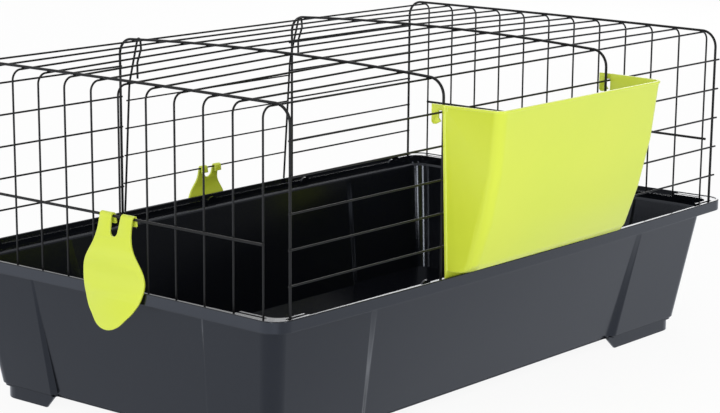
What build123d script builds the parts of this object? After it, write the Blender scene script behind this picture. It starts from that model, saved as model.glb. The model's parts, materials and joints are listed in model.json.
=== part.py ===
from build123d import *
import os
from math import asin, atan2, ceil, cos, radians, sin

# A rabbit hutch: a plastic tray on four feet, a cover of welded coated wire that stands in the
# tray's rim, a wire door hung on the rearmost roof wire, three latch clips and a hay rack that
# hangs outside. X runs along the length, -Y is the side with the hay rack, +Y the side with the
# door, Z is up. The origin is the middle of the footprint, on the floor. Millimetres.

# ---- Tray: driving sizes ----
RIM_HALF_X = 500.0
RIM_HALF_Y = 292.5
RIM_CORNER_R = 26.0
FRONT_BOW = 9.0  # the long front side bellies out by this much at its middle
BACK_BOW = 4.0
END_BOW = -6.0  # the ends are drawn in by their clips
FOOT_HEIGHT = 17.5
FLOOR_HALF_X = 455.0
FLOOR_HALF_Y = 245.5
FLOOR_CORNER_R = 20.0
WALL_TOP_HALF_X = 480.0  # the walls' outer faces where they meet the step under the rim
WALL_TOP_HALF_Y = 271.0
WALL_TOP_CORNER_R = 22.0
WALL = 2.5
LEDGE_IN = 3.0  # the sloping ledge round the bottom of the walls, and the plinth below it
LEDGE_HEIGHT = 2.2
PLINTH_HEIGHT = 1.8
BAND_BOTTOM_Z = 183.0
STEP_Z = 185.5  # the ledge inside, from which the walls step out to the groove
STEP_ROUNDING = 4.0
SHELF_Z = 193.4  # the groove's floor, on which the wires stand
SHELF_HALF_X = 478.5  # the groove's inner edge
SHELF_HALF_Y = 278.5
SHELF_BOWS = (4.0, 4.0, -2.0)
SHELF_CORNER_R = 19.0
LIP_TOP_Z = 198.3
LIP_WIDTH = 3.0
PAD_TOP_Z = 197.4
LUG_R = 12.0  # half-round lugs on the ledge, along the long sides
LUG_T = 2.0
BACK_LUG_X = [-418.0, -207.0, 0.0, 207.0, 418.0]
FRONT_LUG_X = [-207.0, 0.0, 207.0]
PANEL_DEPTH = 8.0  # how far the middle panels of the walls stand back, at the floor
PANEL_TOP_DEPTH = 0.4
FOOT_HALF_X = 451.5
FOOT_HALF_Y = 242.0
FOOT_CORNER_R = 28.0
FOOT_SKIRT = 3.0

# ---- Wire cover: driving sizes ----
BAR_D = 3.6  # hoops, end bars and door legs
WIRE_D = 2.6  # roof wires, level wires and door rails
HOOP_X = [-466.5, -180.5, 180.5, 466.5]
HOOP_Y = 284.5
HOOP_R = 23.0
HOOP_SHOULDER_Z = 448.0  # height of a hoop where its bend meets the roof run
OUTER_HOOP_RISE = 1.0
INNER_HOOP_RISE = 7.5
ROOF_WIRES = 12
ROOF_PITCH = 47.0
END_X = 484.0  # plane of the end faces' upright wires
ROOF_WIRE_R = 13.0
LEVELS = 5
LEVEL_TOP_Z = 407.5
LEVEL_PITCH = 42.7
STUB = 6.0  # how far a wire's end runs past the bar that it is welded to
DOOR_BAY_STUB = 2.5  # the same for the right rear wires, beside the door
END_BAR_Z = 285.0
END_BAR_HALF = 262.0
TOUCH = 0.02  # gap left between wires that touch, so that their solids stay apart

# ---- Door: driving sizes ----
DOOR_LEG_X = 169.2
LEG_D = 3.0
RAIL_D = 2.2
DOOR_FOOT = (291.0, 199.6)  # (y, z) of a leg's free end, just above the lip
DOOR_KNEE = (278.5, 383.0)
DOOR_TAIL = [(254.4, 434.0), (262.0, 414.0), (262.0, 392.0)]
DOOR_RAIL_Z = [359.0, 319.2, 280.2, 240.0]
HINGE_GAP = 0.35

# ---- Clips and hay rack: driving sizes ----
CLIP_T = 2.4
CLIP_GAP = 0.3
END_CLIP_Y = -23.5  # centred on one of the end face's uprights
DOOR_CLIP_X = 5.0
CATCH_HEIGHT = 3.0
RACK_TOP_Z = 416.5
RACK_FLOOR_Z = 205.0
RACK_BACK_Y = -289.3
RACK_TOP_HALF_X = 187.5
RACK_LOW_HALF_X = 177.5
# depth of the rack from its back at each height, a slightly bellied front
RACK_PROFILE = [(205.0, 29.0), (209.0, 38.0), (218.0, 44.0), (271.0, 62.0), (338.0, 77.5), (416.5, 86.0)]
RACK_T = 2.5
RACK_CORNER_R = 15.0
RACK_SLANT = 0.07  # how far each side leans in for each millimetre towards the front
RACK_BEAD = 1.6
RACK_LIP = 1.2
RACK_LIP_HEIGHT = 3.0

# The bounding box of all the pieces is centred on the origin: the rack reaches out further than
# the door's clip, so everything is moved by this much along Y when it is written.
SHIFT_Y = 32.83

BAR_R = BAR_D / 2
WIRE_R = WIRE_D / 2
LEG_R = LEG_D / 2
RAIL_R = RAIL_D / 2
FRONT_WIRE_Y = HOOP_Y + BAR_R + WIRE_R + TOUCH
END_BAR_X = END_X + WIRE_R + BAR_R + TOUCH

os.makedirs("parts", exist_ok=True)


def save(part, name):
    """Labels a finished piece, brings it to the shared frame and writes it to its own file."""
    part.move(Location((0, SHIFT_Y, 0)))
    part.label = name
    export_step(part, f"parts/{name}.step")
    print(name, "volume", round(part.volume, 1))


def save_wire(path, radius, name):
    """Writes a bent wire as one short solid after another, so that each of them is convex or
    nearly so: every straight run is one, and every bend is one for each 60 degrees."""
    runs = []
    for edge in path.edges().sort_by(path.wires()[0]):
        turn = 0 if edge.geom_type == GeomType.LINE else edge.length / edge.radius
        count = ceil(turn / 1.05) if turn > 0.2 else 1
        for k in range(count):
            piece = edge.trim(k / count, (k + 1) / count) if count > 1 else edge
            with BuildPart() as run:
                with BuildSketch(Plane(origin=piece @ 0, z_dir=piece % 0)):
                    Circle(radius)
                sweep(path=piece)
            runs.append(run.part.solid())
    save(Compound(runs), name)


# ------------------------------------------------------------------ tray
def bowed_outline(half_x, half_y, bows, corner_r):
    """A rounded rectangle whose front, back and end sides bow out by the three bows."""
    front, back, end = bows
    corners = [(-half_x, -half_y), (half_x, -half_y), (half_x, half_y), (-half_x, half_y)]
    middles = [(0, -half_y - front), (half_x + end, 0), (0, half_y + back), (-half_x - end, 0)]
    with BuildSketch() as plan:
        with BuildLine():
            for i, middle in enumerate(middles):
                ThreePointArc(corners[i], middle, corners[(i + 1) % 4])
        make_face()
        fillet(plan.vertices(), corner_r)
    add(plan.sketch_local)


def rim_outline(inset):
    """The rim's plan, taken in by the inset."""
    bows = (FRONT_BOW, BACK_BOW, END_BOW)
    bowed_outline(RIM_HALF_X - inset, RIM_HALF_Y - inset, bows, max(RIM_CORNER_R - inset * 0.3, 14))


def shelf_outline(outset):
    """The plan of the groove's inner edge, grown by the outset."""
    half_x, half_y = SHELF_HALF_X + outset, SHELF_HALF_Y + outset
    bowed_outline(half_x, half_y, SHELF_BOWS, SHELF_CORNER_R + outset)


def wall_plan(share, inset):
    """Plan of the tray's body. share is 0 at the floor and 1 under the rim: the middle panel of
    each side stands back from the corner sections, and less so towards the rim."""
    half_x = FLOOR_HALF_X + share * (WALL_TOP_HALF_X - FLOOR_HALF_X) - inset
    half_y = FLOOR_HALF_Y + share * (WALL_TOP_HALF_Y - FLOOR_HALF_Y) - inset
    depth = PANEL_DEPTH + share * (PANEL_TOP_DEPTH - PANEL_DEPTH)
    panel_x = 275 + share * 19
    proud_x = panel_x + 12 - share
    panel_y = 137 + share * 12 + inset * 0.8
    proud_y = 140.5 + share * 12 + inset * 0.8

    def long_side(side, x):
        bow = FRONT_BOW if side < 0 else BACK_BOW
        return side * (half_y + share * bow * (1 - (x / half_x) ** 2))

    def end_side(side, y):
        return side * (half_x + share * END_BOW * (1 - (y / half_y) ** 2))

    def panel_line(start, middle, end):
        if share:
            ThreePointArc(start, middle, end)
        else:
            Line(start, end)

    with BuildSketch() as plan:
        with BuildLine():
            for side in (-1, 1):
                y = long_side(side, panel_x) - side * depth
                middle = (0, long_side(side, 0) - side * depth)
                panel_line((-panel_x, y), middle, (panel_x, y))
                for turn in (-1, 1):
                    proud = (turn * proud_x, long_side(side, proud_x))
                    end = (end_side(turn, proud_y), side * proud_y)
                    back = (end_side(turn, panel_y) - turn * depth, side * panel_y)
                    Polyline((turn * panel_x, y), proud, (turn * half_x, side * half_y), end, back)
            for side in (-1, 1):
                x = end_side(side, panel_y) - side * depth
                middle = (end_side(side, 0) - side * depth, 0)
                panel_line((x, -panel_y), middle, (x, panel_y))
        make_face()
        near = plan.vertices().sort_by(lambda v: abs(v.X) / half_x + abs(v.Y) / half_y)
        fillet(near[-4:], FLOOR_CORNER_R + share * (WALL_TOP_CORNER_R - FLOOR_CORNER_R) - inset)
        fillet([v for v in plan.vertices() if abs(v.X) < panel_x + 2], 9)
        fillet([v for v in plan.vertices() if abs(abs(v.X) - proud_x) < 2], 9)
        fillet([v for v in plan.vertices() if abs(v.Y) < 0.7 * half_y], 1.2)
    return plan.sketch_local


def wall_body(levels):
    """The tray's tapered body, filled, through the levels, each with its height, share and inset."""
    with BuildPart() as body:
        plans = []
        for z, share, plan_inset in levels:
            with BuildSketch(Plane.XY.offset(z)) as plan:
                add(wall_plan(share, plan_inset))
            plans.append(plan.sketch)
        loft(plans, ruled=True)
    return body.part


def foot_block(inset, top_z, low_z):
    """The outside of one foot as a filled block. Its two inner ends slope in towards the floor."""
    with BuildPart() as block:
        for low, z in ((0, top_z), (1, low_z)):
            with BuildSketch(Plane.XY.offset(z)) as plan:
                inner_x = 273 + 20 * low - 30 * inset
                inner_y = 138.5 + 15 * low - 30 * inset
                width = FOOT_HALF_X - inset - inner_x
                depth = FOOT_HALF_Y - inset - inner_y
                with Locations((inner_x + width / 2, inner_y + depth / 2)):
                    Rectangle(width, depth)
                outer = plan.vertices().sort_by(lambda v: v.X + v.Y)[-1]
                fillet(outer, FOOT_CORNER_R - inset)
        loft(ruled=True)
    return block.part


def rim_ring(inset, width, low_z, high_z, round_low):
    """A wall that stands along the rim, with its top edges rounded."""
    with BuildPart() as ring:
        with BuildSketch(Plane.XY.offset(low_z)):
            rim_outline(inset)
            with BuildSketch(mode=Mode.SUBTRACT):
                rim_outline(inset + width)
        extrude(amount=high_z - low_z)
        fillet(ring.faces().sort_by(Axis.Z)[-1].edges(), 0.38 * width)
        if round_low:
            fillet(ring.faces().sort_by(Axis.Z)[0].outer_wire().edges(), 0.3 * width)
    return ring.part


def corner_pad_plan(sx, sy):
    """Plan of the raised pad that fills the rim's groove round one corner."""
    x0, y0 = 436, 217
    points = [(x0, 270), (x0, 330), (540, 330), (540, y0), (470, y0), (470, 270)]
    with BuildLine() as outline:
        Polyline(*[(sx * x, sy * y) for x, y in points], close=True)
    make_face(outline.edges())


def corner_pads():
    """Raised pads in the groove at the corners, with a slot for the wires that stand there."""
    with BuildPart() as pads:
        with BuildSketch(Plane.XY.offset(SHELF_Z - 1)):
            rim_outline(LIP_WIDTH / 2)
            with BuildSketch(mode=Mode.INTERSECT):
                for sx in (-1, 1):
                    for sy in (-1, 1):
                        corner_pad_plan(sx, sy)
        extrude(amount=PAD_TOP_Z - SHELF_Z + 1)
        fillet(pads.faces().filter_by(Axis.Z).group_by(Axis.Z)[-1].edges(), 0.8)
        with BuildSketch(Plane.XY.offset(SHELF_Z)):
            with Locations(*[(sx * 450, sy * HOOP_Y) for sx in (-1, 1) for sy in (-1, 1)]):
                SlotOverall(46, BAR_D + 1.8)
            with Locations(*[(sx * END_X, sy * 237) for sx in (-1, 1) for sy in (-1, 1)]):
                SlotOverall(52, WIRE_D + 1.8, rotation=90)
        extrude(amount=20, mode=Mode.SUBTRACT)
    return pads.part


with BuildPart() as foot:
    add(foot_block(0, FOOT_HEIGHT - PLINTH_HEIGHT / 2, 0))
    add(foot_block(FOOT_SKIRT, FOOT_HEIGHT, -1), mode=Mode.SUBTRACT)

ledge_z = FOOT_HEIGHT + LEDGE_HEIGHT
plinth_z = FOOT_HEIGHT - PLINTH_HEIGHT
inner_floor_z = plinth_z + 2 * WALL
with BuildPart() as hollow:
    # the inside of the tapered body, which opens out round the ledge's rounded edge
    levels = [(inner_floor_z, 0, WALL)]
    for turn in (0, 30, 60, 90):
        z = STEP_Z - STEP_ROUNDING * (1 - sin(radians(turn)))
        back = STEP_ROUNDING * (1 - cos(radians(turn)))
        levels.append((z, (z - ledge_z) / (STEP_Z - ledge_z), WALL - back))
    add(wall_body(levels))
    with BuildSketch(Plane.XY.offset(inner_floor_z)):
        shelf_outline(0)
    extrude(amount=STEP_Z - inner_floor_z, mode=Mode.INTERSECT)

with BuildPart() as base_tray:
    ledge = [(plinth_z, 0, LEDGE_IN), (FOOT_HEIGHT, 0, LEDGE_IN), (ledge_z, 0, 0)]
    add(wall_body(ledge + [(STEP_Z, 1, 0)]))
    # the step up to the groove, the groove's floor, and the skirt with its lip
    with BuildSketch(Plane.XY.offset(STEP_Z - WALL)):
        shelf_outline(WALL)
    extrude(amount=SHELF_Z - STEP_Z + WALL)
    with BuildSketch(Plane.XY.offset(SHELF_Z - WALL)):
        rim_outline(LIP_WIDTH / 2)
    extrude(amount=WALL)
    add(rim_ring(0, LIP_WIDTH, BAND_BOTTOM_Z, LIP_TOP_Z, True))
    add(corner_pads())
    # the hollow inside, then straight up through the rim
    add(hollow.part, mode=Mode.SUBTRACT)
    with BuildSketch(Plane.XY.offset(STEP_Z)):
        shelf_outline(0)
    extrude(amount=20, mode=Mode.SUBTRACT)
    for side, row, bow in ((-1, FRONT_LUG_X, SHELF_BOWS[0]), (1, BACK_LUG_X, SHELF_BOWS[1])):
        for x in row:
            face_y = SHELF_HALF_Y + bow * (1 - (x / SHELF_HALF_X) ** 2)
            foot_of_lug = (x, side * (face_y - LUG_T), STEP_Z - 0.5)
            with BuildSketch(Plane(foot_of_lug, x_dir=(-side, 0, 0), z_dir=(0, side, 0))):
                Circle(LUG_R)
                with Locations((0, -LUG_R)):
                    Rectangle(2 * LUG_R, 2 * LUG_R, mode=Mode.SUBTRACT)
            extrude(amount=LUG_T + 1)
    # the shallow hollow under the floor, inside the plinth
    under = LEDGE_IN + WALL
    add(wall_body([(plinth_z - 1, 0, under), (plinth_z + WALL, 0, under)]), mode=Mode.SUBTRACT)
    # four feet: L-shaped skirts under the corners
    for about in (None, Plane.YZ):
        row = foot.part if about is None else mirror(foot.part, about=about, mode=Mode.PRIVATE)
        add(row)
        add(mirror(row, about=Plane.XZ, mode=Mode.PRIVATE))
save(base_tray.part, "base_tray")


# ------------------------------------------------------------------ wire cover
def hoop_rise(i):
    return INNER_HOOP_RISE if i in (1, 2) else OUTER_HOOP_RISE


def hoop_z(i, y):
    """Height of hoop i's centre line over the roof, a shallow arch."""
    shoulder_y = HOOP_Y - HOOP_R
    return HOOP_SHOULDER_Z + hoop_rise(i) * (1 - (y / shoulder_y) ** 2)


HOOP_NAMES = ["hoop_left_end", "hoop_left_middle", "hoop_right_middle", "hoop_right_end"]
for i, name in enumerate(HOOP_NAMES):
    y = HOOP_Y - HOOP_R
    z = HOOP_SHOULDER_Z
    dip = HOOP_R * (1 - cos(0.7854))
    with BuildLine(Plane.YZ.offset(HOOP_X[i])) as hoop:
        Line((-HOOP_Y, SHELF_Z), (-HOOP_Y, z - HOOP_R))
        ThreePointArc((-HOOP_Y, z - HOOP_R), (-HOOP_Y + dip, z - dip), (-y, z))
        ThreePointArc((-y, z), (-y / 2, hoop_z(i, y / 2)), (0, hoop_z(i, 0)))
        ThreePointArc((0, hoop_z(i, 0)), (y / 2, hoop_z(i, y / 2)), (y, z))
        ThreePointArc((y, z), (HOOP_Y - dip, z - dip), (HOOP_Y, z - HOOP_R))
        Line((HOOP_Y, z - HOOP_R), (HOOP_Y, SHELF_Z))
    save_wire(hoop, BAR_R, name)


def roof_wire_y(j):
    return (j - (ROOF_WIRES - 1) / 2) * ROOF_PITCH


def roof_wire_z(i, j):
    """Height of roof wire j's centre where it lies under hoop i."""
    return hoop_z(i, roof_wire_y(j)) - BAR_R - WIRE_R - TOUCH - 0.01


for j in range(ROOF_WIRES):
    end_z = roof_wire_z(0, j)
    middle_z = roof_wire_z(1, j)
    bend_z = end_z - (middle_z - end_z) * (END_X + HOOP_X[0]) / (HOOP_X[1] - HOOP_X[0])
    points = [(-END_X, SHELF_Z), (-END_X, bend_z), (HOOP_X[1], middle_z)]
    points = points + [(-x, z) for x, z in reversed(points)]
    with BuildLine(Plane.XZ.offset(-roof_wire_y(j))) as roof_wire:
        FilletPolyline(*points, radius=[ROOF_WIRE_R, 0, 0, ROOF_WIRE_R])
    save_wire(roof_wire, WIRE_R, f"roof_wire_{j + 1:02d}")


def straight_wire(name, start, end, radius):
    """A straight round wire between two points, along X or Y."""
    along = (Vector(*end) - Vector(*start)).normalized()
    with BuildPart() as wire:
        with BuildSketch(Plane(origin=start, z_dir=along)):
            Circle(radius)
        extrude(amount=(Vector(*end) - Vector(*start)).length)
    save(wire.part, name)


for level in range(LEVELS):
    z = LEVEL_TOP_Z - level * LEVEL_PITCH
    inner = HOOP_X[2] - STUB
    outer = HOOP_X[3] + STUB
    y = FRONT_WIRE_Y
    straight_wire(f"front_wire_{level + 1}", (-outer, -y, z), (outer, -y, z), WIRE_R)
    straight_wire(f"back_left_wire_{level + 1}", (-outer, y, z), (-inner, y, z), WIRE_R)
    inner = HOOP_X[2] - DOOR_BAY_STUB
    straight_wire(f"back_right_wire_{level + 1}", (inner, y, z), (outer, y, z), WIRE_R)

for side, name in ((-1, "end_bar_left"), (1, "end_bar_right")):
    x = side * END_BAR_X
    straight_wire(name, (x, -END_BAR_HALF, END_BAR_Z), (x, END_BAR_HALF, END_BAR_Z), BAR_R)

# ------------------------------------------------------------------ door
HINGE_Y = roof_wire_y(ROOF_WIRES - 1)
HINGE_Z = roof_wire_z(1, ROOF_WIRES - 1)
HOOK_R = WIRE_R + HINGE_GAP + LEG_R


def hook_apex():
    """Where the leg's line and the tail's line meet, each tangent to the circle of the hook."""
    lines = []
    for (py, pz), turn in ((DOOR_KNEE, -1), (DOOR_TAIL[0], 1)):
        dy = HINGE_Y - py
        dz = HINGE_Z - pz
        distance = (dy**2 + dz**2) ** 0.5
        angle = atan2(dz, dy) + turn * asin(HOOK_R / distance)
        lines.append((py, pz, cos(angle), sin(angle)))
    (y1, z1, c1, s1), (y2, z2, c2, s2) = lines
    reach = ((y2 - y1) * s2 - (z2 - z1) * c2) / (c1 * s2 - s1 * c2)
    return (y1 + reach * c1, z1 + reach * s1)


for side, name in ((-1, "door_leg_left"), (1, "door_leg_right")):
    with BuildLine(Plane.YZ.offset(side * DOOR_LEG_X)) as leg:
        FilletPolyline(DOOR_FOOT, DOOR_KNEE, hook_apex(), *DOOR_TAIL, radius=[90, HOOK_R, 5, 6])
    save_wire(leg, LEG_R, name)


def door_leg_y(z):
    """The leg's centre line below its knee."""
    share = (z - DOOR_FOOT[1]) / (DOOR_KNEE[1] - DOOR_FOOT[1])
    return DOOR_FOOT[0] + share * (DOOR_KNEE[0] - DOOR_FOOT[0])


RAIL_STAND_OFF = LEG_R + RAIL_R + TOUCH
for k, z in enumerate(DOOR_RAIL_Z):
    rail_y = door_leg_y(z) + RAIL_STAND_OFF
    reach = DOOR_LEG_X + LEG_R
    straight_wire(f"door_rail_{k + 1}", (-reach, rail_y, z), (reach, rail_y, z), RAIL_R)


# ------------------------------------------------------------------ clips
def clip_outline(half_widths, slot, top):
    """Face of a clip seen from outside, symmetric about the Y axis: half_widths lists (height,
    half width) down to the tip, which is one arc from the last place but one. The slot between
    the two prongs widens towards its mouth."""
    right = [(w, h) for h, w in half_widths]
    tip_h = right.pop()[1]
    arc_w, arc_h = right[-1]
    rise = arc_h - tip_h
    tip_r = (arc_w**2 + rise**2) / (2 * rise)
    into_arc = (rise - tip_r, -arc_w)
    with BuildLine() as outline:
        Polyline((0, top), (right[0][0], top), right[0])
        Spline(*right, tangents=[(0, -1), into_arc])
        TangentArc(right[-1], (0, tip_h), tangent=into_arc)
        Line((0, tip_h), (0, top))
    half = make_face(outline.edges())
    mirror(half, about=Plane.YZ)
    slot_half, slot_low, flare = slot
    low = slot_low + slot_half
    with BuildLine() as cut:
        Line((-slot_half, low), (-slot_half - flare, top + 1))
        Line((-slot_half - flare, top + 1), (slot_half + flare, top + 1))
        Line((slot_half + flare, top + 1), (slot_half, low))
        ThreePointArc((slot_half, low), (0, slot_low), (-slot_half, low))
    make_face(cut.edges(), mode=Mode.SUBTRACT)


def make_clip(plane_section, plane_face, bar_r, run, tail, face, catch):
    """A clip: its section drawn out sideways, cut to its outline, with a catch behind the plate.
    The run ends in a flat flap, which a crease sets off from the rest. The section's origin is
    the centre of the bar that it turns on, outwards is +X, up is +Y."""
    with BuildPart() as clip:
        with BuildSketch(plane_section):
            with BuildLine() as spine:
                hook_r = bar_r + CLIP_GAP + CLIP_T / 2
                Line((-hook_r - 0.6, -tail), (-hook_r, 0))
                ThreePointArc((-hook_r, 0), (0, hook_r), (hook_r, 0))
                Spline((hook_r, 0), *run[:-1], tangents=[(0.25, -1), (0.12, -1)])
                Line(run[-2], run[-1])
            trace(spine.edges(), line_width=CLIP_T)
        extrude(amount=70, both=True)
        with BuildSketch(plane_face):
            clip_outline(*face)
        extrude(amount=60, both=True, mode=Mode.INTERSECT)
        with BuildSketch(plane_section):
            inner, outer, catch_top = catch
            with Locations(((inner + outer) / 2, catch_top - CATCH_HEIGHT / 2)):
                Rectangle(outer - inner, CATCH_HEIGHT)
        extrude(amount=24, both=True)
    return clip.part


END_RUN = [(7.2, -17), (11.9, -45), (9.1, -75), (12.1, -101), (26, -144)]
END_FACE = (
    [
        (-5, 28), (-20, 29.2), (-35, 34.4), (-50, 44), (-62, 50.3), (-76, 52.6), (-90, 50),
        (-103, 44.2), (-116, 35), (-127, 24), (-137.5, 0),
    ],
    (6.6, -23.5, 2.4),
    8,
)
END_CATCH = (4.9, 12.2, -102.6)
left_clip = make_clip(
    Plane(origin=(-END_BAR_X, END_CLIP_Y, END_BAR_Z), x_dir=(-1, 0, 0), z_dir=(0, 1, 0)),
    Plane(origin=(-END_BAR_X, END_CLIP_Y, END_BAR_Z), x_dir=(0, -1, 0), z_dir=(-1, 0, 0)),
    BAR_R, END_RUN, 9.5, END_FACE, END_CATCH,
)
right_clip = mirror(left_clip, about=Plane.YZ)
save(left_clip, "clip_left")
save(right_clip, "clip_right")

DOOR_RUN = [(5.6, -14), (8.6, -30), (8.2, -42), (9.8, -56.5), (21.1, -96)]
DOOR_FACE = (
    [
        (-5, 20), (-18, 21.5), (-30, 29), (-42, 36), (-52, 38), (-62, 36), (-71, 30.5),
        (-80, 20.5), (-88, 0),
    ],
    (7.8, -15.5, 1.2),
    8,
)
rail_z = DOOR_RAIL_Z[-1]
rail_y = door_leg_y(rail_z) + RAIL_STAND_OFF
DOOR_CATCH = (3.2, 9.8, -57.7)
door_clip = make_clip(
    Plane(origin=(DOOR_CLIP_X, rail_y, rail_z), x_dir=(0, 1, 0), z_dir=(1, 0, 0)),
    Plane(origin=(DOOR_CLIP_X, rail_y, rail_z), x_dir=(-1, 0, 0), z_dir=(0, 1, 0)),
    RAIL_R, DOOR_RUN, 7, DOOR_FACE, DOOR_CATCH,
)
save(door_clip, "clip_door")


# ------------------------------------------------------------------ hay rack
def rack_half_x(z):
    share = (z - RACK_FLOOR_Z) / (RACK_TOP_Z - RACK_FLOOR_Z)
    return RACK_LOW_HALF_X + share * (RACK_TOP_HALF_X - RACK_LOW_HALF_X)


def rack_plan(z, depth, inset, back):
    """Plan of the rack at a height: its back is open, and its sides lean in towards the front."""
    back_x = rack_half_x(z) - inset + RACK_SLANT * back
    front_x = rack_half_x(z) - inset - RACK_SLANT * (depth - inset)
    back_y = RACK_BACK_Y + back
    front_y = RACK_BACK_Y - depth + inset
    with BuildSketch() as plan:
        with BuildLine():
            left = ((-back_x, back_y), (-front_x, front_y))
            Polyline(*left, (front_x, front_y), (back_x, back_y), close=True)
        make_face()
        fillet(plan.vertices().group_by(Axis.Y)[0], RACK_CORNER_R - inset)
    return plan.sketch_local


def rack_body(inset, back, rise):
    """The bellied rack body, taken in by the inset and carried past its back by the given length.
    rise lifts its floor, and its top goes up as far."""
    with BuildPart() as body:
        plans = []
        for z, depth in RACK_PROFILE:
            lift = rise if z < RACK_FLOOR_Z + 10 or z == RACK_TOP_Z else 0
            with BuildSketch(Plane.XY.offset(z + lift)) as plan:
                add(rack_plan(z, depth, inset, back))
            plans.append(plan.sketch)
        loft(plans, ruled=True)
    return body.part


with BuildPart() as hay_rack:
    add(rack_body(0, 0, 0))
    # the lip along the top edge of the front and the sides
    with BuildSketch(Plane.XY.offset(RACK_TOP_Z - RACK_LIP_HEIGHT)):
        add(rack_plan(RACK_TOP_Z, RACK_PROFILE[-1][1], -RACK_LIP, 0))
    extrude(amount=RACK_LIP_HEIGHT)
    # beads down the back edges of the two sides
    for sx in (-1, 1):
        with BuildSketch(Plane.XZ.offset(-RACK_BACK_Y)):
            with BuildLine():
                x = [rack_half_x(z) + out for z in (RACK_FLOOR_Z, RACK_TOP_Z) for out in (-1, RACK_BEAD)]
                corners = [
                    (x[0], RACK_FLOOR_Z),
                    (x[1], RACK_FLOOR_Z),
                    (x[3], RACK_TOP_Z),
                    (x[2], RACK_TOP_Z),
                ]
                Polyline(*[(sx * cx, cz) for cx, cz in corners], close=True)
            make_face()
        extrude(amount=3)
    add(rack_body(RACK_T, 10, RACK_T), mode=Mode.SUBTRACT)
    # the tongue along the bottom of the back, which stands in the rim's groove
    tongue_z = SHELF_Z + 0.7
    with BuildSketch(Plane.XY.offset(tongue_z)):
        with Locations((0, RACK_BACK_Y - 1.1)):
            Rectangle(2 * (RACK_LOW_HALF_X + RACK_BEAD), 2.2)
    extrude(amount=RACK_FLOOR_Z + 1 - tongue_z)
    # a hook at the back of each side, over the top front wire and down inside the cage
    wire_top = LEVEL_TOP_Z + WIRE_R + 0.35
    for sx in (-1, 1):
        x = sx * (RACK_TOP_HALF_X - RACK_T / 2 - 0.2)
        with BuildSketch(Plane.YZ.offset(x)):
            with BuildLine():
                Polyline(
                    (RACK_BACK_Y - 6, RACK_TOP_Z),
                    (-271.0, RACK_TOP_Z),
                    (-271.0, 394.0),
                    (-273.5, 391.5),
                    (-277.5, 391.5),
                    (-285.2, 395.5),
                    (-281.5, 399.5),
                    (-281.5, wire_top),
                    (RACK_BACK_Y - 6, wire_top),
                    close=True,
                )
            make_face()
        extrude(amount=RACK_T / 2, both=True)
save(hay_rack.part, "hay_rack")
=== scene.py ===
# %% [markdown]
# # A rabbit hutch
# The hutch is a plastic tray with a cover of coated wire, a wire door, three lever clips and a hay
# rack. The engineering model already gives every piece its shape and place. This lesson dresses
# it: it gives the pieces their finishes, adds the small things that a moulding or a weld leaves
# behind, and sets up a plain studio.

import json
from math import cos, pi, radians, sin

import bpy
from mathutils import Matrix, Vector

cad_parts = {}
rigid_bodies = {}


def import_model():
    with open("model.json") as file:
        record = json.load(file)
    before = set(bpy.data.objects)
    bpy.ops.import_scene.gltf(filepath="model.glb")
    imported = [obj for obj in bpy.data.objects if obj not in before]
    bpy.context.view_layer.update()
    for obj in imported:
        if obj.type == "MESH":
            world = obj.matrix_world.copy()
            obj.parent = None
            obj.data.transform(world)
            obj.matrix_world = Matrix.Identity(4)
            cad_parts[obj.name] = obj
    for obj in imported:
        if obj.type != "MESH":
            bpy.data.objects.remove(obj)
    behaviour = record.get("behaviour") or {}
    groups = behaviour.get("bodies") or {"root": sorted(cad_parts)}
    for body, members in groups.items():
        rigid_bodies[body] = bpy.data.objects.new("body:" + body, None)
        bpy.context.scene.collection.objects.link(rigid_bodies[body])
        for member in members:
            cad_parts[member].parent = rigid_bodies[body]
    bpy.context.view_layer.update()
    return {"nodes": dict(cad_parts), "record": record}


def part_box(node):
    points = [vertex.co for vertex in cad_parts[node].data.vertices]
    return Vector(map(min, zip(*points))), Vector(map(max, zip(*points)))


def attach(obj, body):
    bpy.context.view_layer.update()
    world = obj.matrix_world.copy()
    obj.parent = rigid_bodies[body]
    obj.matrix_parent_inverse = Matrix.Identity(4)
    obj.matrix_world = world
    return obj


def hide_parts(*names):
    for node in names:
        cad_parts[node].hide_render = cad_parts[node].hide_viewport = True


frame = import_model()
print("pieces in the model:", len(frame["nodes"]))

# %% [markdown]
# ## The camera
# A long lens from well to the left keeps the long sides almost parallel. The lens looks a little
# below the hutch's middle. The frame is shifted up and a little to the left, as on a view camera,
# so that the hutch stands in its middle.

# %% Place the camera
FOCAL_LENGTH_MM = 111.6
CAMERA_PLACE = Vector((-2.3517, -1.9197, 0.8455))
CAMERA_YAW = 0.894
CAMERA_PITCH = 0.241
CAMERA_ROLL = 0.012
SENSOR_WIDTH_MM = 36
SHIFT_RIGHT = -0.04616
SHIFT_UP = 0.1226
FARTHEST_SEEN = 50

ahead = Vector(
    (
        sin(CAMERA_YAW) * cos(CAMERA_PITCH),
        cos(CAMERA_YAW) * cos(CAMERA_PITCH),
        -sin(CAMERA_PITCH),
    )
)
level = Vector((cos(CAMERA_YAW), -sin(CAMERA_YAW), 0))
upward = level.cross(ahead)
right = cos(CAMERA_ROLL) * level + sin(CAMERA_ROLL) * upward
upward = right.cross(ahead)

camera_data = bpy.data.cameras.new("camera")
camera_data.lens = FOCAL_LENGTH_MM
camera_data.sensor_width = SENSOR_WIDTH_MM
camera_data.shift_x = SHIFT_RIGHT
camera_data.shift_y = SHIFT_UP
camera_data.clip_end = FARTHEST_SEEN
camera = bpy.data.objects.new("camera", camera_data)
bpy.context.scene.collection.objects.link(camera)
turn = Matrix((right, upward, -ahead)).transposed().to_4x4()
camera.matrix_world = Matrix.Translation(CAMERA_PLACE) @ turn
bpy.context.scene.camera = camera
print("camera at", tuple(camera.location))

# %% [markdown]
# ## Finishes as expressions
# A finish is easier to read as arithmetic than as boxes joined by lines. A small class wraps a
# socket, so that adding or multiplying two of them lays down the Math node.


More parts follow.
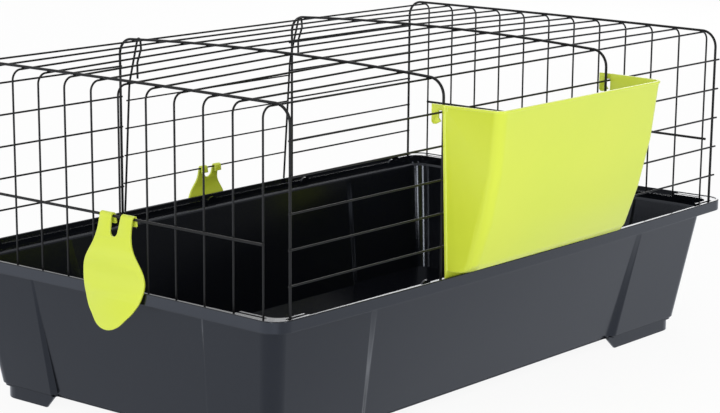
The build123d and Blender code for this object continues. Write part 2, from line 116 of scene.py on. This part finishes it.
# %% A wrapper for sockets
class Socket:
    """A node's output that can be used in arithmetic."""

    def __init__(self, finish, socket):
        self.finish = finish
        self.socket = socket

    def __add__(self, other):
        return self.finish.math("ADD", self, other)

    __radd__ = __add__

    def __rsub__(self, other):
        return self.finish.math("SUBTRACT", other, self)

    def __mul__(self, other):
        return self.finish.math("MULTIPLY", self, other)

    __rmul__ = __mul__


class Finish:
    """A material built from nodes, with its Principled shader at hand."""

    def __init__(self, name):
        self.material = bpy.data.materials.new(name)
        self.material.use_nodes = True
        self.tree = self.material.node_tree
        self.shader = self.tree.nodes["Principled BSDF"]

    def node(self, kind, settings=None, inputs=None, output=0):
        made = self.tree.nodes.new(kind)
        for key, value in (settings or {}).items():
            setattr(made, key, value)
        for key, value in (inputs or {}).items():
            self.feed(made.inputs[key], value)
        return Socket(self, made.outputs[output])

    def feed(self, target, value):
        if isinstance(value, Socket):
            self.tree.links.new(value.socket, target)
        else:
            target.default_value = value

    def math(self, operation, first, second):
        return self.node("ShaderNodeMath", {"operation": operation}, {0: first, 1: second})

    def set(self, **values):
        for key, value in values.items():
            self.feed(self.shader.inputs[key.replace("_", " ")], value)


# %% [markdown]
# ## Tray plastic
# The tray is injection-moulded in a very dark, slightly blue plastic. Most of the grey that one
# sees on it is the white room reflected in its gloss, so the colour itself is nearly black: with a
# mid-grey instead, the inside of the tray would look far too light. A fine noise in the
# roughness and a very shallow bump keep the gloss from looking like glass.


# %% A helper for noise that every finish uses
def grain(finish, scale, detail=3.0):
    """Noise on the piece's own coordinates, around 0.5."""
    place = finish.node("ShaderNodeTexCoord", output=3)
    inputs = {"Vector": place, "Scale": scale, "Detail": detail}
    return finish.node("ShaderNodeTexNoise", inputs=inputs)


def blend_colours(finish, share, first, second):
    """Two colours mixed by a share between 0 and 1."""
    mix = {"data_type": "RGBA", "clamp_factor": True}
    return finish.node("ShaderNodeMix", mix, {0: share, 6: first, 7: second}, output=2)


def shallow_bump(finish, height, distance):
    """A normal that follows the height, so many metres deep."""
    inputs = {"Height": height, "Distance": distance, "Strength": 1.0}
    return finish.node("ShaderNodeBump", inputs=inputs)


# %% Make the tray's plastic
NIGHT = (0.0026, 0.0030, 0.0046, 1)
NIGHT_LIGHT = (0.0044, 0.0050, 0.0072, 1)
COOL_GLOSS = (0.82, 0.88, 1.0, 1)
CLOUD_SCALE = 6.0
SPECKLE_SCALE = 1400.0
CLOUD_DEPTH = 6  # how much deeper the broad noise is than the fine one
MOULD_SKIN = 0.00002  # how deep the moulded surfaces' bump is, in metres

tray_plastic = Finish("tray_plastic")
cloudy = grain(tray_plastic, CLOUD_SCALE)
speckle = grain(tray_plastic, SPECKLE_SCALE, 2.0)
tray_plastic.set(
    Base_Color=blend_colours(tray_plastic, cloudy, NIGHT, NIGHT_LIGHT),
    Roughness=0.12 + cloudy * 0.07 + speckle * 0.05,
    Specular_IOR_Level=0.44,
    Specular_Tint=COOL_GLOSS,
    Normal=shallow_bump(tray_plastic, speckle + cloudy * CLOUD_DEPTH, MOULD_SKIN),
)
print("tray plastic has", len(tray_plastic.tree.nodes), "nodes")

# %% [markdown]
# ## Lime plastic
# The clips and the rack are moulded in one bright plastic. It is a little less glossy than the
# tray and, as in most thin coloured mouldings, its colour drifts a little where the plastic
# flowed. Two sizes of noise do that: a broad one for the drift and a fine one for the skin.

# %% Make the lime plastic
LIME = (0.625, 0.745, 0.047, 1)
LIME_WARM = (0.680, 0.765, 0.060, 1)
DRIFT_SCALE = 9.0
SKIN_SCALE = 1100.0
DRIFT_DEPTH = 8

lime_plastic = Finish("lime_plastic")
drift = grain(lime_plastic, DRIFT_SCALE)
skin = grain(lime_plastic, SKIN_SCALE, 2.0)
lime_plastic.set(
    Base_Color=blend_colours(lime_plastic, drift, LIME, LIME_WARM),
    Roughness=0.24 + drift * 0.08 + skin * 0.05,
    Normal=shallow_bump(lime_plastic, skin + drift * DRIFT_DEPTH, MOULD_SKIN),
)
print("lime plastic has", len(lime_plastic.tree.nodes), "nodes")

# %% [markdown]
# The edges of the clips and the rack carry a thin bright line. That line is a painted highlight:
# the narrow faces that round the edges get a paler finish of their own for it.

# %% Make the lime plastic's painted edge highlight
# Painted highlight: these pale colours stand in for the bright line that light draws along the
# rounded edges.
PAINTED_HIGHLIGHT = (0.92, 0.96, 0.46, 1)
PAINTED_HIGHLIGHT_WARM = (0.94, 0.96, 0.54, 1)

lime_painted_highlight = Finish("lime_painted_highlight")
drift = grain(lime_painted_highlight, DRIFT_SCALE)
lime_painted_highlight.set(
    Base_Color=blend_colours(lime_painted_highlight, drift, PAINTED_HIGHLIGHT, PAINTED_HIGHLIGHT_WARM),
    Roughness=0.20 + drift * 0.10,
)
print("pale edge has", len(lime_painted_highlight.tree.nodes), "nodes")

# %% [markdown]
# ## Wire coating
# The wires are steel with a powder coat: black, satin, and a little uneven where the powder
# gathered. The unevenness is in the bump, at about a millimetre, and more broadly in the colour
# and the sheen.

# %% Make the wire's coating
SOOT = (0.0035, 0.0035, 0.0038, 1)
SOOT_LIGHT = (0.0075, 0.0075, 0.0080, 1)
PATCH_SCALE = 60.0
PEEL_SCALE = 700.0
COAT_SKIN = 0.00003

wire_coating = Finish("wire_coating")
patches = grain(wire_coating, PATCH_SCALE)
orange_peel = grain(wire_coating, PEEL_SCALE, 1.0)
wire_coating.set(
    Base_Color=blend_colours(wire_coating, patches, SOOT, SOOT_LIGHT),
    Roughness=0.33 + patches * 0.10,
    Specular_IOR_Level=0.22,
    Normal=shallow_bump(wire_coating, orange_peel, COAT_SKIN),
)
print("wire coating has", len(wire_coating.tree.nodes), "nodes")

# %% Give each piece of the model its finish
finish_of = {
    "tray_plastic": tray_plastic,
    "lime_plastic": lime_plastic,
    "wire_coating": wire_coating,
}
for part in frame["record"]["subparts"]:
    node = bpy.data.objects[part["node"]]
    for slot in node.material_slots:
        slot.material = finish_of[part["material_slot"]].material

# %% [markdown]
# ## Rounded edges on the lime pieces
# No moulding has a knife edge. On the clips and the rack the rounded edges are what one sees
# first, because each of them carries a thin bright line, a painted highlight in the paler finish
# of the bevel. The model's own mesh isn't touched: a copy has its triangles joined, its sharp
# edges bevelled, and stands in the piece's place.

# %% Helpers for working on a mesh by hand
SAME_POINT = 0.00001  # metres
SAME_PLANE = radians(0.6)
STAYS_SHARP = radians(32)


def deselect_all():
    bpy.ops.object.select_all(action="DESELECT")


def work_on(piece):
    """Makes a piece the only selected one and opens its mesh."""
    deselect_all()
    piece.select_set(True)
    bpy.context.view_layer.objects.active = piece
    bpy.ops.object.mode_set(mode="EDIT")


def merged_copy(node, name, finishes):
    """A copy of a piece of the model, with its loose triangles joined into plain faces."""
    made = bpy.data.objects.new(name, bpy.data.objects[node].data.copy())
    made.data.name = name
    made.data.materials.clear()
    for finish in finishes:
        made.data.materials.append(finish.material)
    bpy.context.scene.collection.objects.link(made)
    work_on(made)
    bpy.ops.mesh.select_all(action="SELECT")
    bpy.ops.mesh.remove_doubles(threshold=SAME_POINT)
    bpy.ops.mesh.dissolve_limited(angle_limit=SAME_PLANE)
    bpy.ops.object.mode_set(mode="OBJECT")
    return made


def round_edges(piece, width, sharper_than, segments):
    """Bevels every edge that is sharper than an angle, in the piece's second finish (on the lime
    pieces, the painted edge highlight).
    """
    work_on(piece)
    bpy.ops.mesh.select_mode(type="EDGE")
    bpy.ops.mesh.select_all(action="DESELECT")
    bpy.ops.mesh.edges_select_sharp(sharpness=sharper_than)
    bpy.ops.mesh.bevel(
        offset=width, segments=segments, affect="EDGES", clamp_overlap=True, material=1
    )
    bpy.ops.object.mode_set(mode="OBJECT")
    bpy.ops.object.shade_smooth_by_angle(angle=STAYS_SHARP)


def stands_for(piece, node, body):
    """Puts a finished piece in a node's place and on its body."""
    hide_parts(node)
    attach(piece, body)


# %% Round the clips and the rack
CLIP_ROUNDING = 0.0010
RACK_ROUNDING = 0.0009
ROUNDED_FROM = radians(38)  # edges that turn by less than this stay as they are
rounding = {name: CLIP_ROUNDING for name in ("clip_left", "clip_right", "clip_door")}
rounding["hay_rack"] = RACK_ROUNDING
for name, width in rounding.items():
    # The bevels take the second finish, which is the painted edge highlight.
    rounded = merged_copy(name, name + "_rounded", (lime_plastic, lime_painted_highlight))
    round_edges(rounded, width, ROUNDED_FROM, segments=2)
    stands_for(rounded, name, name)
    print(name, "has", len(rounded.data.polygons), "faces after rounding")

# %% [markdown]
# ## Welds
# The wires are joined by resistance welds. Each leaves a little bead of metal where the two wires
# sank into each other. One bead is modelled from a coarse sphere, then copied to every crossing,
# lying along one of the two wires. The beads of the cover are one piece and the beads of the door
# another, because the door swings.

# %% Find the crossings
SHOULDER_Z = 0.448
SHOULDER_HALF = 0.2615
hoops = [n for n in frame["nodes"] if n.startswith("hoop_")]
roof_wires = [n for n in frame["nodes"] if n.startswith("roof_wire_")]
middle_y = (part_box("hoop_left_end")[0].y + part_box("hoop_left_end")[1].y) / 2


def centre(node):
    low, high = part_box(node)
    return (low + high) / 2


def thickness(node):
    low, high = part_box(node)
    return min(high - low)


def hoop_height(hoop, y):
    """Height of the middle of a hoop's roof at a place across the hutch."""
    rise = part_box(hoop)[1].z - thickness(hoop) / 2 - SHOULDER_Z
    return SHOULDER_Z + rise * (1 - ((y - middle_y) / SHOULDER_HALF) ** 2)


cover_crossings = []
for hoop in hoops:
    x = centre(hoop).x
    for wire in roof_wires:
        y = centre(wire).y
        z = hoop_height(hoop, y) - thickness(hoop) / 2
        cover_crossings.append((Vector((x, y, z)), "x", thickness(wire)))
for wire in [n for n in frame["nodes"] if n.startswith(("front_wire_", "back_"))]:
    low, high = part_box(wire)
    inner_y = low.y if low.y > 0 else high.y
    for hoop in hoops:
        x = centre(hoop).x
        if low.x < x < high.x:
            place = Vector((x, inner_y, centre(wire).z))
            cover_crossings.append((place, "x", thickness(wire)))
for bar in ("end_bar_left", "end_bar_right"):
    low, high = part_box(bar)
    x = high.x if high.x < 0 else low.x
    for wire in roof_wires:
        place = Vector((x, centre(wire).y, centre(bar).z))
        cover_crossings.append((place, "y", thickness(wire)))
print("crossings on the cover:", len(cover_crossings))

door_crossings = []
for rail in [n for n in frame["nodes"] if n.startswith("door_rail_")]:
    low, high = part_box(rail)
    for leg in ("door_leg_left", "door_leg_right"):
        place = Vector((centre(leg).x, low.y, centre(rail).z))
        door_crossings.append((place, "x", thickness(rail)))
print("crossings on the door:", len(door_crossings))

# %% Model one bead and copy it
BEAD_SLIMNESS = 0.62  # thickness of a bead by its length
BEAD_SIZE = 0.85  # half a bead's length by the thickness of the thinner wire

deselect_all()
bpy.ops.mesh.primitive_uv_sphere_add(segments=10, ring_count=6, radius=1.0)
bead = bpy.context.object
bead.name = "weld_bead"
work_on(bead)
bpy.ops.mesh.select_all(action="SELECT")
bpy.ops.transform.resize(value=(1.0, BEAD_SLIMNESS, BEAD_SLIMNESS))
bpy.ops.object.mode_set(mode="OBJECT")


def beads(crossings, name, body):
    """All the beads of one body as one piece, each lying along x or y."""
    copies = []
    for place, along, wire in crossings:
        made = bead.copy()
        made.data = bead.data.copy()
        bpy.context.scene.collection.objects.link(made)
        quarter = pi / 2 if along == "y" else 0
        turned = Matrix.Rotation(quarter, 4, "Z") @ Matrix.Scale(BEAD_SIZE * wire, 4)
        made.data.transform(Matrix.Translation(place) @ turned)
        copies.append(made)
    deselect_all()
    for made in copies:
        made.select_set(True)
    bpy.context.view_layer.objects.active = copies[0]
    bpy.ops.object.join()
    piece = bpy.context.object
    piece.name = name
    piece.data.name = name
    bpy.ops.object.shade_smooth()
    piece.data.materials.append(wire_coating.material)
    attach(piece, body)
    print(name, "has", len(copies), "beads")


beads(cover_crossings, "cover_welds", "base")
beads(door_crossings, "door_welds", "door")
bpy.data.objects.remove(bead)

# %% [markdown]
# ## The studio
# The hutch stands in a photographer's room: a white sweep behind it and overhead, and a dark
# room in front, towards which the long front side faces. The gloss mirrors both, so the inside of
# the tray stays black while its rim is bright. To the camera the room is plain white all round.
# The floor is white paper that keeps a soft shadow.

# %% Light the room
world = bpy.data.worlds.new("studio")
bpy.context.scene.world = world
world.use_nodes = True
WHITE = (1, 1, 1, 1)
ROOM_LIGHT = 0.79
DARK_ROOM = 0.13


class Room(Finish):
    """The world's nodes, with its background at hand."""

    def __init__(self, world):
        self.tree = world.node_tree
        self.shader = self.tree.nodes["Background"]


def rays(finish):
    """Three masks: rays from the camera, rays from a gloss, and rays through something clear."""
    kinds = ("Is Camera Ray", "Is Glossy Ray", "Is Transmission Ray")
    return [finish.node("ShaderNodeLightPath", output=kind) for kind in kinds]


def fade(finish, coordinates, axis, start, end):
    """Rises softly from 0 to 1 as one of the coordinates goes from start to end."""
    along = finish.node("ShaderNodeSeparateXYZ", inputs={0: coordinates}, output=axis)
    reach = {"Value": along, "From Min": start, "From Max": end}
    return finish.node("ShaderNodeMapRange", {"interpolation_type": "SMOOTHSTEP"}, reach)


room = Room(world)
camera_ray, glossy_ray, through_ray = rays(room)
towards = room.node("ShaderNodeTexCoord", output="Generated")
behind = fade(room, towards, "Y", 0.0, 0.3)
overhead = fade(room, towards, "Z", 0.3, 0.6)
sweep = room.math("MAXIMUM", behind, overhead)
mirrored = DARK_ROOM + (1 - DARK_ROOM) * sweep
lit = ROOM_LIGHT + camera_ray * (1 - ROOM_LIGHT) + through_ray * (1 - ROOM_LIGHT)
room.set(Color=WHITE, Strength=lit * (1 - glossy_ray) + mirrored * glossy_ray)
print("room light", ROOM_LIGHT)

# %% Lay the floor
SEEN_SHARE = 0.92
MIRRORED_SHARE = 0.97
PAPER_WHITE = (0.93, 0.93, 0.93, 1)
FLOOR_SIZE = 30
COOL_WHITE = (0.88, 0.92, 1.0, 1)
LEFT_GAIN = 0.8  # how much brighter the far paper is in the gloss, on the left and in front
FRONT_GAIN = 0.25
deselect_all()
bpy.ops.mesh.primitive_plane_add(size=FLOOR_SIZE, location=(0, 0, 0))
floor = bpy.context.object
floor.name = "floor"
paper = Finish("floor_paper")
paper.set(Base_Color=PAPER_WHITE, Roughness=0.9, Specular_IOR_Level=0.0)
camera_ray, glossy_ray, through_ray = rays(paper)
glow_colour = blend_colours(paper, glossy_ray, WHITE, COOL_WHITE)
spot = paper.node("ShaderNodeTexCoord", output="Object")
left_gain = fade(paper, spot, "X", -0.80, -1.0) * LEFT_GAIN
front_gain = fade(paper, spot, "Y", -0.55, -0.70) * FRONT_GAIN
glow_strength = 1 + glossy_ray * (left_gain + front_gain)
glow = paper.node("ShaderNodeEmission", inputs={"Color": glow_colour, "Strength": glow_strength})
share = camera_ray * SEEN_SHARE + glossy_ray * MIRRORED_SHARE + through_ray * MIRRORED_SHARE
matt = Socket(paper, paper.shader.outputs["BSDF"])
surface = paper.node("ShaderNodeMixShader", inputs={0: share, 1: matt, 2: glow})
paper.tree.links.new(surface.socket, paper.tree.nodes["Material Output"].inputs["Surface"])
floor.data.materials.append(paper.material)
print("floor", tuple(floor.dimensions))


# %% Set the lamps
def lamp(name, place, target, size, radiance):
    """A soft box whose face is so many times as bright as a white wall of the room."""
    data = bpy.data.lights.new(name, "AREA")
    data.shape = "RECTANGLE"
    data.size = size[0]
    data.size_y = size[1]
    data.energy = radiance * pi * size[0] * size[1]
    made = bpy.data.objects.new(name, data)
    bpy.context.scene.collection.objects.link(made)
    made.location = place
    aim = Vector(target) - Vector(place)
    made.rotation_euler = aim.to_track_quat("-Z", "Y").to_euler()
    print(name, "gives", round(data.energy, 1), "W")


FAR_CORNER = Vector((0.455, 0.283, 0.10))
SOFT_BOX = (0.50, 0.60)
SOFT_BOX_REACH = 3.6
SOFT_BOX_RADIANCE = 19.0
SWEEP_PLACE = (3.95, 2.47, 1.28)
SWEEP_TARGET = (-0.1, -0.26, 0.2)
SWEEP_SIZE = (1.8, 0.9)
SWEEP_RADIANCE = 2.4


def soft_box(name, azimuth, rise):
    """A soft box that draws a bright line down the far corner's rounding. Its direction from
    there is given in degrees, and the azimuth starts at +X."""
    azimuth = radians(azimuth)
    rise = radians(rise)
    flat = Vector((cos(azimuth), sin(azimuth), 0))
    place = FAR_CORNER + SOFT_BOX_REACH * (cos(rise) * flat + Vector((0, 0, sin(rise))))
    lamp(name, place, FAR_CORNER, SOFT_BOX, SOFT_BOX_RADIANCE)


soft_box("soft_box_front", 259, 11)
soft_box("soft_box_left", 204, 12)
lamp("bright_sweep", SWEEP_PLACE, SWEEP_TARGET, SWEEP_SIZE, SWEEP_RADIANCE)
bpy.context.scene.view_settings.view_transform = "Standard"
